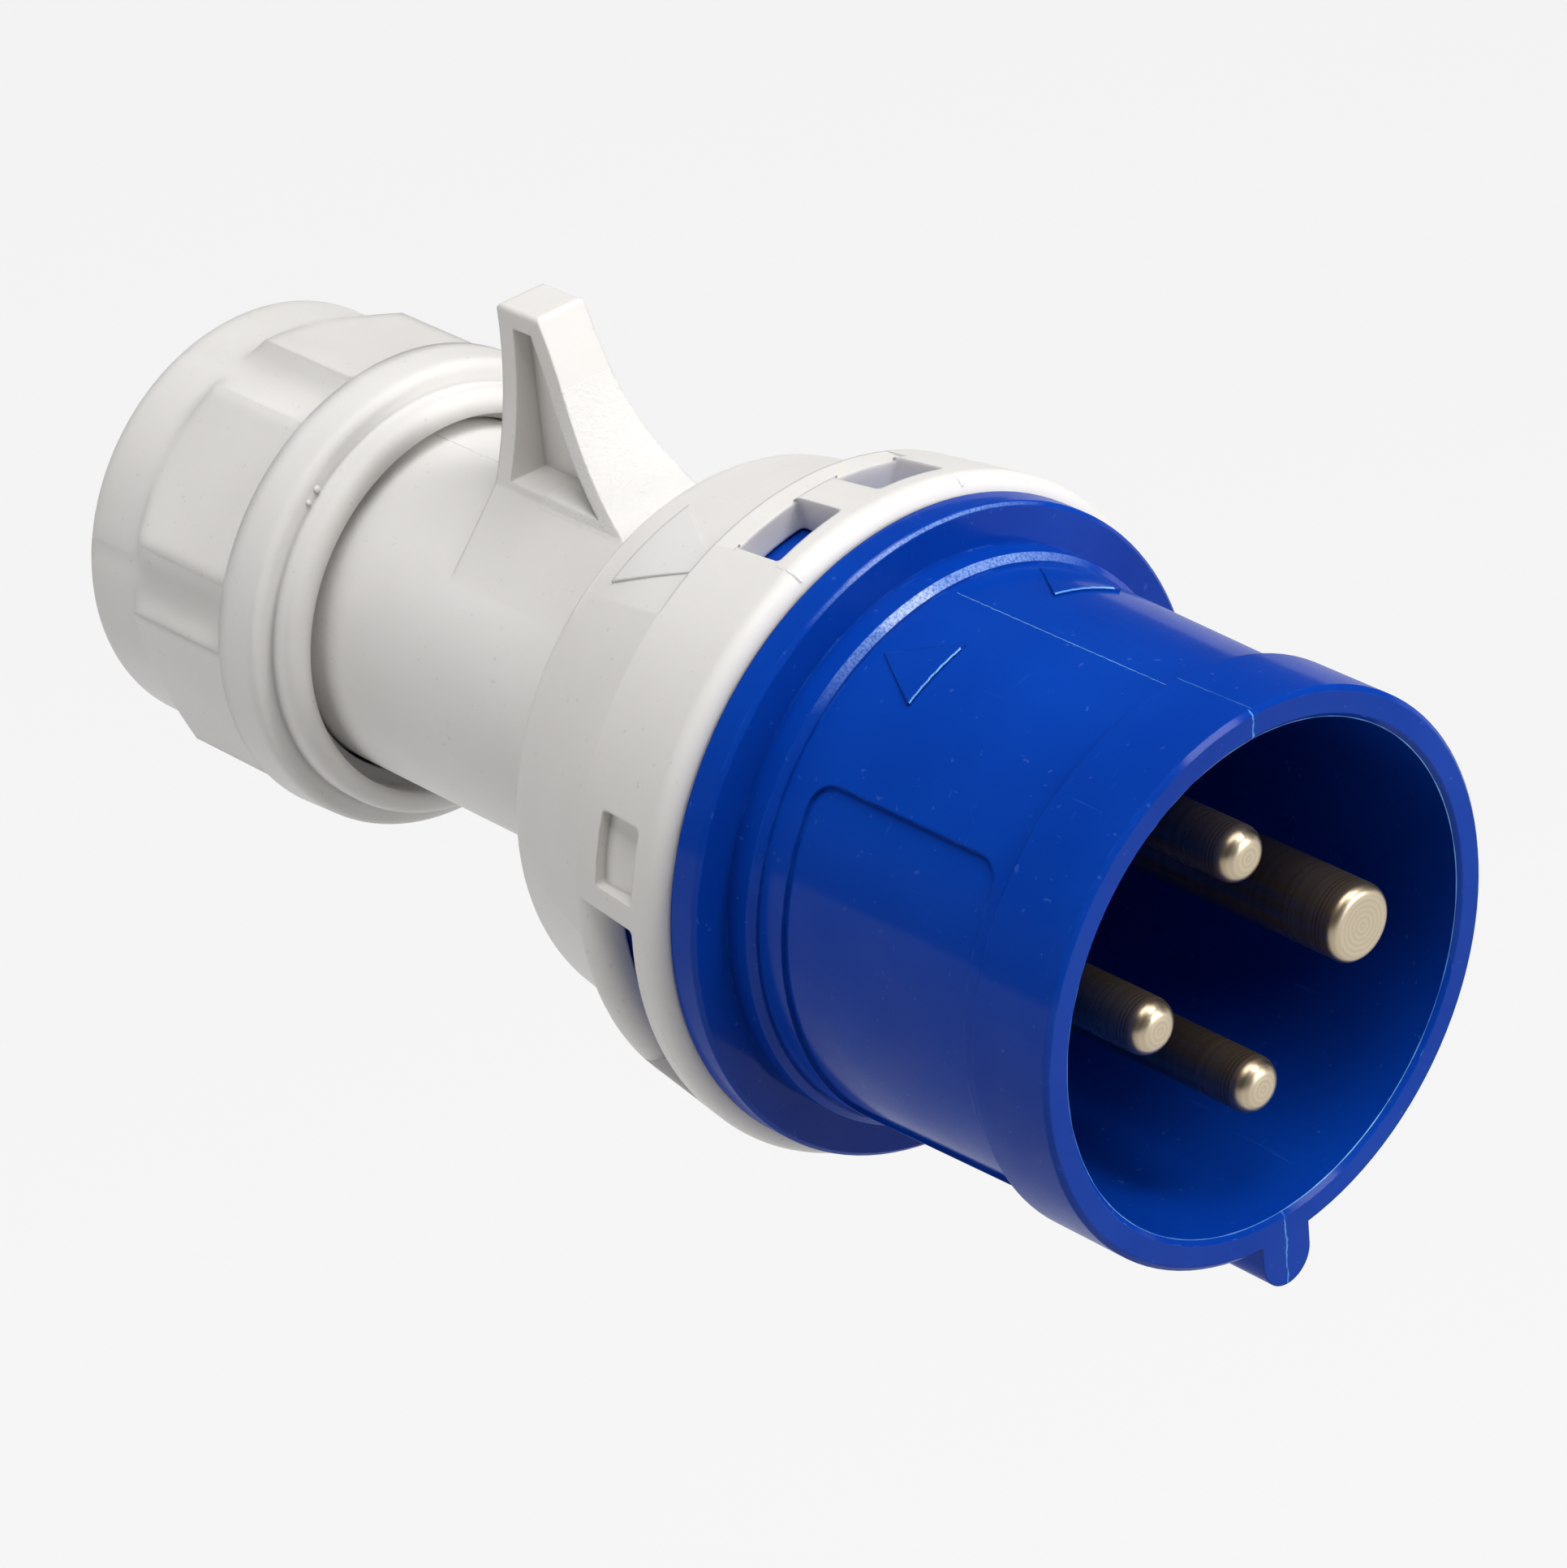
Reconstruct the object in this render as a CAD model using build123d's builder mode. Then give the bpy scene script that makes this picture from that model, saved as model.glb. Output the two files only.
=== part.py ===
"""Three-phase industrial plug, 16 A: blue keyed shroud with four pins, grey twist-lock housing, cable gland.

The plug's axis is X. Its rim lies in the plane x = 0 and everything else lies behind it, at negative x.
Z is up: the retaining fin stands at the top and the key rib runs along the bottom.
Clock angles are measured about +X from +Y, so the fin stands at 90 degrees and the earth pin at 0.
"""
import os
from math import acos, atan2, cos, degrees, hypot, radians, sin

from build123d import *

# Shroud
shroud_bore_r = 22.45
shroud_bore_draft = 0.55
shroud_wall = 1.55
shroud_draft = 0.6
shroud_length = 34.3
rim_band_height = 1.15
rim_band_length = 8.8
rim_edge = 0.4
step_ring_height = 0.85
step_ring_length = 2.9
step_ring_edge = 0.6
flange_thickness = 2.8
flange_overhang = 1.1
flange_edge = 0.35
floor_setback = 0.8
key_width = 5.4
key_height = 4.25

# Bare rating panel sunk in the side of the shroud
panel_front_margin = 1.8
panel_rear_margin = 2.7
panel_start_deg = 139.5
panel_sweep_deg = 84.0
panel_depth = 0.4
panel_corner_r = 2.4

# Contact base and twist-lock skirt behind the flange
base_depth = 6.0
skirt_step = 0.85
skirt_wall = 2.3
skirt_length = 4.0
lug_height = 1.3
lug_setback = 5.4
lug_length = 3.3
lug_sweep_deg = 14.0
lug_angles_deg = (122.0, 302.0)
twist_open_deg = 42.5

# Contacts
pin_circle_r = 11.0
pin_angles_deg = (90.0, 180.0, 270.0)
earth_angle_deg = 0.0
phase_pin_r = 2.5
phase_pin_tip = 1.5
phase_tip_round = 1.6
phase_wire_r = 2.1
phase_barrel_wall = 1.6
earth_pin_r = 3.5
earth_pin_tip = 0.1
earth_tip_round = 1.0
earth_wire_r = 2.6
earth_barrel_wall = 1.9
pin_root_step = 0.2
shoulder_step = 0.5
shoulder_length = 3.0
barrel_length = 15.5
wire_hole_depth = 11.0
pin_fit = 0.05
barrel_gap = 0.1

# Terminal screws
terminal_screw_r = 1.75
terminal_screw_bite = 1.5
terminal_screw_setback = 4.6
terminal_head_r = 3.0
terminal_head_height = 2.2
terminal_slot_width = 0.9
terminal_slot_depth = 1.0
screw_fit = 0.08

# Contact retainer and its screws
retainer_side_gap = 0.4
retainer_thickness = 3.0
retainer_gap = 0.1
barrier_width = 1.8
barrier_clearance = 1.6
barrier_setback = 2.0
retainer_screw_inset = 6.1
retainer_screw_angles_deg = (45.0, 225.0)
retainer_screw_r = 1.5
retainer_screw_length = 7.0
retainer_screw_room = 0.4
retainer_head_r = 2.9
retainer_head_height = 1.9
retainer_slot_width = 0.8
retainer_slot_depth = 0.9

# Seal between flange and collar
seal_width = 1.7
seal_thickness = 1.65
seal_fit = 0.05
seal_room = 0.3

# Housing collar
collar_gap = 0.25
collar_lip_wall = 2.37
collar_lip_round = 1.75
collar_taper = 1.47
collar_shelf = 1.2
collar_bore_gap = 0.3
skirt_room = 0.5
cavity_step = 3.6
terminal_room = 1.4
collar_rear_wall = 2.6
collar_rear_drop = 3.95
collar_rear_round = 2.0
collar_rear_slope = 0.18
pad_cut = 2.95
pad_bulge = 3.75
pad_axis_deg = 65.0

# Openings of the collar, in two opposite sets
opening_count = 2
opening_setback = 3.35
window_starts_deg = (74.2, 96.3)
window_sweep_deg = 14.2
window_length = 5.6
window_strip_start_deg = 72.0
window_strip_sweep_deg = 39.0
pocket_start_deg = 158.8
pocket_sweep_deg = 13.2
pocket_length = 5.2
pocket_floor_wall = 0.7
slot_start_deg = 176.0
slot_sweep_deg = 38.0
slot_length = 5.5
slot_round = 2.2
opening_corner_r = 0.45
track_gap = 0.3
track_end_deg = 1.5

# Neck and gland seat
neck_r = 16.5
neck_wall = 2.6
neck_length = 50.5
seat_wall = 3.5
seat_depth = 6.5
ledge_height = 1.5
ledge_thickness = 3.0

# Retaining fin on the neck
fin_height = 18.95
fin_length = 22.0
fin_top_length = 5.3
fin_brow_height = 12.5
fin_brow_length = 8.0
fin_toe_height = 0.4
fin_toe_setback = 0.9
fin_top_half_width = 2.7
fin_waist_half_width = 3.05
fin_waist_height = 11.0
fin_foot_half_width = 5.1
fin_foot_height = 2.4
fin_edge_round = 0.5
fin_wall = 1.9
fin_toe_wall = 7.6
fin_web_half = 0.9
fin_floor_height = 3.1
saddle_blend = 0.05

# Cord grommet and clamp cage
grommet_seat_gap = 0.1
grommet_taper = 2.4
grommet_taper_setback = 1.0
grommet_tail_length = 10.0
grommet_bore_r = 7.0
grommet_ring_inset = 1.5
grommet_ring_width = 0.6
grommet_ring_depth = 0.5
cage_gap = 0.15
cage_ring_inset = 0.9
cage_ring_length = 2.6
cage_root_step = 0.9
cage_taper = 2.0
cage_overhang = 0.4
cage_finger_count = 12
cage_slit_width = 1.2

# Gland nut
nut_overlap = 15.3
nut_thread_gap = 0.3
nut_thread_room = 0.9
nut_wall = 3.45
nut_lip_inset = 0.15
nut_lip_length = 2.8
nut_lip_round = 1.0
nut_mouth_step = 1.2
nut_ring_height = 2.05
nut_ring_draft = 0.25
nut_ring_length = 4.9
nut_ring_round = 0.8
nut_cone_gap = 0.35
nut_cone_front_gap = 0.5
nut_cone_room = 0.6
nut_rear_wall = 3.55
nut_rear_round = 1.4
nut_entry_inset = 0.1
nut_entry_edge = 1.2
grip_length = 12.6
grip_slope = 2.0
grip_flat_height = 0.1
grip_corner_height = 1.95
groove_count = 6
groove_first_deg = 107.2
groove_floor_width = 2.7
groove_top_width = 4.0
valley_r = 4.0
valley_depth = 0.22


def clock_plane(angle_deg):
    """The plane through the plug's axis whose second axis points to a clock angle."""
    angle = radians(angle_deg)
    return Plane(origin=(0, 0, 0), x_dir=(1, 0, 0), z_dir=(0, -sin(angle), cos(angle)))


def station(distance):
    """The plane square to the axis, a distance behind the rim, with Y across and Z up."""
    return Plane(origin=(-distance, 0, 0), x_dir=(0, 1, 0), z_dir=(1, 0, 0))


def revolved(profile, mode=Mode.ADD, start_deg=90.0, sweep_deg=360.0):
    """Turns a closed outline of (distance behind the rim, radius) points about the axis."""
    with BuildSketch(clock_plane(start_deg)) as outline:
        with BuildLine():
            Polyline([(-distance, radius) for distance, radius in profile], close=True)
        make_face()
    revolve(outline.sketch, axis=Axis.X, revolution_arc=sweep_deg, mode=mode)


def sector(front, rear, inner_r, outer_r, start_deg, sweep_deg, mode):
    """A block between two stations, two radii and two clock angles."""
    corners = [(front, inner_r), (front, outer_r), (rear, outer_r), (rear, inner_r)]
    revolved(corners, mode, start_deg, sweep_deg)


def circles_at(part, distance, radius):
    """The round edges about the axis at a station and radius."""
    near = 1e-3
    rings = part.edges().filter_by(GeomType.CIRCLE)
    rings = rings.filter_by(lambda ring: abs(ring.radius - radius) < near)
    rings = rings.filter_by(lambda ring: abs(ring.arc_center.X + distance) < near)
    return rings.filter_by(lambda ring: abs(ring.arc_center.Y) + abs(ring.arc_center.Z) < near)


def on_circle(radius, angle_deg):
    """The (Y, Z) place on a circle about the axis at a clock angle."""
    return radius * cos(radians(angle_deg)), radius * sin(radians(angle_deg))


def shroud_r_at(distance):
    """Outer radius of the tapered shroud wall behind its rim band."""
    share = (distance - rim_band_length) / (shroud_length - rim_band_length)
    return shroud_front_r + share * shroud_draft


def collar_ring_r_at(distance):
    """Outer radius of the tapered front ring of the collar."""
    return collar_front_r - collar_taper * (distance - collar_front) / (collar_step - collar_front)


def four_arcs(distance, radius, between_r):
    """An outline square to the axis: arcs at the two finger pads and two between them, at two radii."""
    ends_deg = (pad_start_deg, pad_end_deg, pad_start_deg + 180, pad_end_deg + 180, pad_start_deg + 360)
    with BuildSketch(station(distance)) as outline:
        with BuildLine():
            for index, middle_r in enumerate((radius, between_r, radius, between_r)):
                middle_deg = (ends_deg[index] + ends_deg[index + 1]) / 2
                ThreePointArc(
                    on_circle(radius, ends_deg[index]),
                    on_circle(middle_r, middle_deg),
                    on_circle(radius, ends_deg[index + 1]),
                )
        make_face()
    return outline.sketch


def finish(part, name):
    """Labels a finished piece and writes it."""
    part.label = name
    export_step(part, f"parts/{name}.step")


os.makedirs("parts", exist_ok=True)

# Radii from the shroud's bore outwards
shroud_front_r = shroud_bore_r + shroud_wall
shroud_rear_r = shroud_front_r + shroud_draft
shroud_floor_r = shroud_bore_r - shroud_bore_draft
rim_r = shroud_front_r + rim_band_height
step_ring_r = shroud_rear_r + step_ring_height
skirt_r = step_ring_r + skirt_step
skirt_bore_r = skirt_r - skirt_wall
lug_r = skirt_r + lug_height
seal_bore_r = skirt_r + seal_fit
seal_outer_r = seal_bore_r + seal_width
seal_room_r = seal_outer_r + seal_room
flange_r = seal_outer_r + flange_overhang
track_r = lug_r + track_gap
collar_front_r = seal_room_r + collar_lip_wall
collar_step_r = collar_front_r - collar_taper
collar_rear_r = collar_step_r - collar_rear_drop
collar_bore_r = skirt_r + collar_bore_gap
cavity_r = collar_bore_r - cavity_step
pocket_floor_r = track_r + pocket_floor_wall
beyond_collar_r = collar_front_r + collar_lip_wall

# Stations from the rim backwards
flange_front = shroud_length + step_ring_length
flange_rear = flange_front + flange_thickness
shroud_depth = flange_front + floor_setback
panel_front = rim_band_length + panel_front_margin
panel_rear = shroud_length - panel_rear_margin
base_rear = flange_rear + base_depth
skirt_rear = base_rear + skirt_length
lug_front = flange_rear + lug_setback
lug_rear = lug_front + lug_length
seal_rear = flange_rear + seal_thickness
shoulder_front = base_rear - shoulder_length
barrel_rear = base_rear + barrel_length
terminal_screw_at = barrel_rear - terminal_screw_setback
collar_front = flange_rear + collar_gap
collar_bore_rear = skirt_rear + skirt_room
collar_step = collar_bore_rear + collar_shelf
cavity_rear = barrel_rear + terminal_room
collar_rear = cavity_rear + collar_rear_wall
collar_shoulder = collar_rear - collar_rear_round
opening_front = collar_front + opening_setback
window_rear = opening_front + window_length
slot_rear = opening_front + slot_length
neck_rear = collar_rear + neck_length

# Oval of the collar at its step: arcs at the pads, and wider ones between them that come nearer to the axis
oval_r = collar_step_r + pad_bulge
oval_offset = pad_bulge + pad_cut
oval_waist_r = oval_r - oval_offset
pad_cosine = (oval_offset ** 2 + collar_step_r ** 2 - oval_r ** 2) / (2 * oval_offset * collar_step_r)
pad_end_deg = pad_axis_deg + degrees(acos(pad_cosine))
pad_start_deg = 2 * pad_axis_deg + 180 - pad_end_deg

# Contact retainer
retainer_r = skirt_bore_r - retainer_side_gap
retainer_front = base_rear + retainer_gap
retainer_rear = retainer_front + retainer_thickness
retainer_screw_circle_r = retainer_r - retainer_screw_inset
retainer_screw_tip = retainer_rear - retainer_screw_length
barrier_reach = retainer_screw_circle_r - retainer_head_r - barrier_clearance
barrier_rear = barrel_rear - barrier_setback

# Neck end, grommet, cage and nut
neck_bore_r = neck_r - neck_wall
grommet_seat_r = neck_r - seat_wall
ledge_r = grommet_seat_r - ledge_height
ledge_rear = neck_rear - seat_depth
ledge_front = ledge_rear - ledge_thickness
grommet_r = grommet_seat_r - grommet_seat_gap
grommet_tail_r = grommet_r - grommet_taper
grommet_front = ledge_rear + grommet_seat_gap
grommet_taper_front = neck_rear + grommet_taper_setback
grommet_rear = neck_rear + grommet_tail_length
grommet_slope = grommet_taper / (grommet_rear - grommet_taper_front)
cage_ring_r = neck_r - cage_ring_inset
cage_root_r = cage_ring_r - cage_root_step
cage_tip_r = cage_root_r - cage_taper
cage_ring_rear = neck_rear + cage_ring_length
cage_rear = grommet_rear + cage_overhang
cage_bore_r = grommet_r + cage_gap
cage_bore_rear_r = cage_bore_r - grommet_slope * (cage_rear - grommet_taper_front)
nut_thread_r = neck_r + nut_thread_gap
nut_mouth_r = nut_thread_r + nut_mouth_step
nut_barrel_r = nut_thread_r + nut_wall
nut_lip_r = nut_barrel_r - nut_lip_inset
nut_ring_rear_r = nut_barrel_r + nut_ring_height
nut_ring_front_r = nut_ring_rear_r - nut_ring_draft
nut_cone_front_r = cage_root_r + nut_cone_front_gap
nut_cone_rear_r = cage_tip_r + nut_cone_gap
nut_entry_r = grommet_tail_r - nut_entry_inset
nut_front = neck_rear - nut_overlap
nut_ring_front = nut_front + nut_lip_length
nut_ring_rear = nut_ring_front + nut_ring_length
nut_thread_rear = cage_ring_rear + nut_thread_room
nut_cone_rear = cage_rear + nut_cone_room
nut_rear = nut_cone_rear + nut_rear_wall
grip_rear = nut_ring_rear + grip_length
grip_slope_rear = grip_rear + grip_slope
grip_root_r = (nut_thread_r + nut_barrel_r) / 2

# Fin outline
fin_top = neck_r + fin_height
fin_brow = neck_r + fin_brow_height
fin_waist = neck_r + fin_waist_height
fin_foot = neck_r + fin_foot_height
fin_toe = neck_r + fin_toe_height
fin_floor = neck_r + fin_floor_height
fin_rear = collar_rear + fin_length
fin_brow_front = fin_rear - fin_brow_length
fin_toe_front = collar_rear + fin_toe_setback
fin_slant = (fin_brow_length - fin_top_length) / (fin_height - fin_brow_height)
saddle_r = neck_r - saddle_blend
saddle_angle = atan2(fin_foot_half_width, fin_foot) + acos(saddle_r / hypot(fin_foot_half_width, fin_foot))
saddle_half_width = saddle_r * sin(saddle_angle)
saddle_foot = saddle_r * cos(saddle_angle)

# Contacts by node: pin, screw, clock angle, pin radius, tip, nose round, wire hole, barrel wall
contacts = [
    (
        f"phase_pin_{index + 1}", f"terminal_screw_{index + 1}", angle,
        phase_pin_r, phase_pin_tip, phase_tip_round, phase_wire_r, phase_barrel_wall,
    )
    for index, angle in enumerate(pin_angles_deg)
]
contacts.append((
    "earth_pin", "terminal_screw_earth", earth_angle_deg,
    earth_pin_r, earth_pin_tip, earth_tip_round, earth_wire_r, earth_barrel_wall,
))


# Front shroud: shroud, key, flange, contact base and twist-lock skirt in one moulding
with BuildPart() as front_shroud:
    revolved([
        (0, shroud_bore_r),
        (0, rim_r),
        (rim_band_length, rim_r),
        (rim_band_length, shroud_front_r),
        (shroud_length, shroud_rear_r),
        (shroud_length, step_ring_r),
        (flange_front, step_ring_r),
        (flange_front, flange_r),
        (flange_rear, flange_r),
        (flange_rear, skirt_r),
        (skirt_rear, skirt_r),
        (skirt_rear, skirt_bore_r),
        (base_rear, skirt_bore_r),
        (base_rear, 0),
        (shroud_depth, 0),
        (shroud_depth, shroud_floor_r),
    ])
    rim_edges = circles_at(front_shroud, 0, rim_r) + circles_at(front_shroud, 0, shroud_bore_r)
    chamfer(rim_edges + circles_at(front_shroud, rim_band_length, rim_r), rim_edge)
    chamfer(circles_at(front_shroud, shroud_length, step_ring_r), step_ring_edge)
    chamfer(circles_at(front_shroud, flange_front, flange_r), flange_edge)
    # key rib along the bottom, with a round crest
    key_crest = rim_r + key_height - key_width / 2
    key_root = shroud_front_r - shroud_wall / 2
    with BuildSketch(station(shroud_length)):
        with Locations((0, -(key_crest + key_root) / 2)):
            Rectangle(key_width, key_crest - key_root)
        with Locations((0, -key_crest)):
            Circle(key_width / 2)
    extrude(amount=shroud_length)
    # bare rating panel, sunk parallel to the tapered wall
    panel_corners = [
        (panel_front, shroud_r_at(panel_front) - panel_depth),
        (panel_front, rim_r),
        (panel_rear, rim_r),
        (panel_rear, shroud_r_at(panel_rear) - panel_depth),
    ]
    revolved(panel_corners, Mode.SUBTRACT, panel_start_deg, panel_sweep_deg)
    corner_edges = front_shroud.edges().filter_by(GeomType.LINE)
    corner_edges = corner_edges.filter_by(lambda edge: edge.length < 1.5 * panel_depth)
    panel_span = (-panel_rear - panel_depth, -panel_front + panel_depth)
    corner_edges = corner_edges.filter_by(lambda edge: panel_span[0] < edge.center().X < panel_span[1])
    fillet(corner_edges, panel_corner_r)
    # seats of the contacts and of the retainer screws in the base
    for pin_node, screw_node, angle, pin_r, tip, tip_round, wire_r, barrel_wall in contacts:
        with BuildSketch(station(base_rear)):
            with Locations(on_circle(pin_circle_r, angle)):
                Circle(pin_r + pin_root_step + pin_fit)
        extrude(amount=base_rear - shroud_depth, mode=Mode.SUBTRACT)
        with BuildSketch(station(base_rear)):
            with Locations(on_circle(pin_circle_r, angle)):
                Circle(wire_r + barrel_wall + shoulder_step + pin_fit)
        extrude(amount=shoulder_length, mode=Mode.SUBTRACT)
    with BuildSketch(station(base_rear)):
        for angle in retainer_screw_angles_deg:
            with Locations(on_circle(retainer_screw_circle_r, angle)):
                Circle(retainer_screw_r + screw_fit)
    extrude(amount=base_rear - retainer_screw_tip + retainer_screw_room, mode=Mode.SUBTRACT)
    # twist-lock lugs on the skirt
    lug_root_r = skirt_r - skirt_wall / 2
    for angle in lug_angles_deg:
        lug_start_deg = angle - lug_sweep_deg / 2
        sector(lug_front, lug_rear, lug_root_r, lug_r, lug_start_deg, lug_sweep_deg, Mode.ADD)
finish(front_shroud.part, "front_shroud")


# Contacts: round-nosed pin, shoulder in the base, and a barrel bored for the wire and tapped for its screw
for pin_node, screw_node, angle, pin_r, tip, tip_round, wire_r, barrel_wall in contacts:
    barrel_r = wire_r + barrel_wall
    shoulder_r = barrel_r + shoulder_step
    across, up = on_circle(pin_circle_r, angle)
    pin_axis = Axis((0, across, up), (1, 0, 0))
    outward = (0, cos(radians(angle)), sin(radians(angle)))
    pin_plane = Plane(origin=(0, across, up), x_dir=(1, 0, 0), z_dir=clock_plane(angle).z_dir)
    screw_plane = Plane(origin=(-terminal_screw_at, across, up), x_dir=(1, 0, 0), z_dir=outward)
    with BuildPart() as contact:
        with BuildSketch(pin_plane):
            with BuildLine():
                Polyline(
                    (-tip, 0),
                    (-tip, pin_r),
                    (-shroud_depth, pin_r),
                    (-shroud_depth, pin_r + pin_root_step),
                    (-shoulder_front, pin_r + pin_root_step),
                    (-shoulder_front, shoulder_r),
                    (-base_rear, shoulder_r),
                    (-base_rear, barrel_r),
                    (-barrel_rear, barrel_r),
                    (-barrel_rear, wire_r),
                    (wire_hole_depth - barrel_rear, wire_r),
                    (wire_hole_depth - barrel_rear, 0),
                    close=True,
                )
            make_face()
        revolve(axis=pin_axis)
        nose = contact.edges().filter_by(GeomType.CIRCLE).sort_by(Axis.X)[-1]
        fillet(nose, tip_round)
        with BuildSketch(screw_plane):
            Circle(terminal_screw_r + screw_fit)
        extrude(amount=barrel_r + terminal_head_height, mode=Mode.SUBTRACT)
    finish(contact.part, pin_node)

    # slotted clamping screw, standing out from the barrel, its tip in the wire hole
    head_plane = screw_plane.offset(barrel_r + barrel_gap)
    with BuildPart() as clamp_screw:
        with BuildSketch(head_plane):
            Circle(terminal_head_r)
        extrude(amount=terminal_head_height)
        with BuildSketch(head_plane):
            Circle(terminal_screw_r)
        extrude(amount=-(barrel_gap + barrel_wall + terminal_screw_bite))
        with BuildSketch(head_plane.offset(terminal_head_height)):
            Rectangle(3 * terminal_head_r, terminal_slot_width)
        extrude(amount=-terminal_slot_depth, mode=Mode.SUBTRACT)
    finish(clamp_screw.part, screw_node)


# Contact retainer: plate over the shoulders, with a cross of barriers between the terminals
with BuildPart() as contact_retainer:
    with BuildSketch(station(retainer_rear)):
        Circle(retainer_r)
        for pin_node, screw_node, angle, pin_r, tip, tip_round, wire_r, barrel_wall in contacts:
            with Locations(on_circle(pin_circle_r, angle)):
                Circle(wire_r + barrel_wall + barrel_gap, mode=Mode.SUBTRACT)
        for angle in retainer_screw_angles_deg:
            with Locations(on_circle(retainer_screw_circle_r, angle)):
                Circle(retainer_screw_r + screw_fit, mode=Mode.SUBTRACT)
    extrude(amount=retainer_thickness)
    with BuildSketch(station(retainer_rear)):
        Rectangle(2 * barrier_reach, barrier_width, rotation=45)
        Rectangle(2 * barrier_reach, barrier_width, rotation=135)
    extrude(amount=retainer_rear - barrier_rear)
finish(contact_retainer.part, "contact_retainer")


# Retainer screws: slotted heads on the plate, shanks in the base
for index, angle in enumerate(retainer_screw_angles_deg):
    across, up = on_circle(retainer_screw_circle_r, angle)
    seat_plane = Plane(origin=(-retainer_rear, across, up), x_dir=(0, 1, 0), z_dir=(1, 0, 0))
    with BuildPart() as retainer_screw:
        with BuildSketch(seat_plane):
            Circle(retainer_head_r)
        extrude(amount=-retainer_head_height)
        with BuildSketch(seat_plane):
            Circle(retainer_screw_r)
        extrude(amount=retainer_screw_length)
        with BuildSketch(seat_plane.offset(-retainer_head_height)):
            Rectangle(3 * retainer_head_r, retainer_slot_width)
        extrude(amount=retainer_slot_depth, mode=Mode.SUBTRACT)
    finish(retainer_screw.part, f"retainer_screw_{index + 1}")


# Flange seal: ring on the skirt, against the back of the flange
with BuildPart() as flange_seal:
    with BuildSketch(station(seal_rear)):
        Circle(seal_outer_r)
        Circle(seal_bore_r, mode=Mode.SUBTRACT)
    extrude(amount=seal_thickness)
finish(flange_seal.part, "flange_seal")


# Retaining fin and the saddle that carries it: side outline and end outline in one solid
with BuildPart() as fin_block:
    with BuildSketch(Plane.XZ):
        with BuildLine():
            brow = Line((fin_top_length - fin_rear, fin_top), (-fin_brow_front, fin_brow))
            TangentArc((-fin_brow_front, fin_brow), (-fin_toe_front, fin_toe), tangent=brow % 1)
            Polyline(
                (-fin_toe_front, fin_toe),
                (-collar_shoulder, fin_toe),
                (-collar_shoulder, saddle_foot),
                (-fin_rear, saddle_foot),
                (-fin_rear, fin_top),
                (fin_top_length - fin_rear, fin_top),
            )
        make_face()
    extrude(amount=saddle_half_width, both=True)
    with BuildSketch(station(fin_rear)):
        with BuildLine():
            Line((-fin_top_half_width, fin_top), (fin_top_half_width, fin_top))
            ThreePointArc(
                (fin_top_half_width, fin_top),
                (fin_waist_half_width, fin_waist),
                (fin_foot_half_width, fin_foot),
            )
            Polyline(
                (fin_foot_half_width, fin_foot),
                (saddle_half_width, saddle_foot),
                (-saddle_half_width, saddle_foot),
                (-fin_foot_half_width, fin_foot),
            )
            ThreePointArc(
                (-fin_foot_half_width, fin_foot),
                (-fin_waist_half_width, fin_waist),
                (-fin_top_half_width, fin_top),
            )
        make_face()
    extrude(amount=fin_rear, mode=Mode.INTERSECT)
    top_edges = fin_block.faces().sort_by(Axis.Z)[-1].edges()
    fillet(top_edges, fin_edge_round)
    # hollows on both sides of the mid web
    hollow_rear = fin_wall - fin_rear
    hollow_top = fin_top - fin_wall
    hollow_front = fin_top_length - fin_rear - fin_wall + fin_slant * fin_wall
    for side in (-1, 1):
        hollow_plane = Plane(origin=(0, side * fin_web_half, 0), x_dir=(1, 0, 0), z_dir=(0, -1, 0))
        with BuildSketch(hollow_plane):
            with BuildLine():
                inner_brow = Line((hollow_front, hollow_top), (-fin_brow_front - fin_wall, fin_brow))
                TangentArc(
                    (-fin_brow_front - fin_wall, fin_brow),
                    (-fin_toe_front - fin_toe_wall, fin_floor),
                    tangent=inner_brow % 1,
                )
                Polyline(
                    (-fin_toe_front - fin_toe_wall, fin_floor),
                    (hollow_rear, fin_floor),
                    (hollow_rear, hollow_top),
                    (hollow_front, hollow_top),
                )
            make_face()
        extrude(amount=-side * saddle_half_width, mode=Mode.SUBTRACT)


# Openings of the collar: windows through to the skirt, and blind pockets
with BuildPart() as collar_openings:
    for index in range(opening_count):
        turn = 360.0 * index / opening_count
        blocks = [(start, window_sweep_deg, window_length, cavity_r) for start in window_starts_deg]
        blocks.append((pocket_start_deg, pocket_sweep_deg, pocket_length, pocket_floor_r))
        for start, sweep, length, inner_r in blocks:
            rear = opening_front + length
            sector(opening_front, rear, inner_r, beyond_collar_r, start + turn, sweep, Mode.ADD)
    corner_edges = collar_openings.edges().filter_by(GeomType.LINE).filter_by(Axis.X, reverse=True)
    fillet(corner_edges, opening_corner_r)


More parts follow.
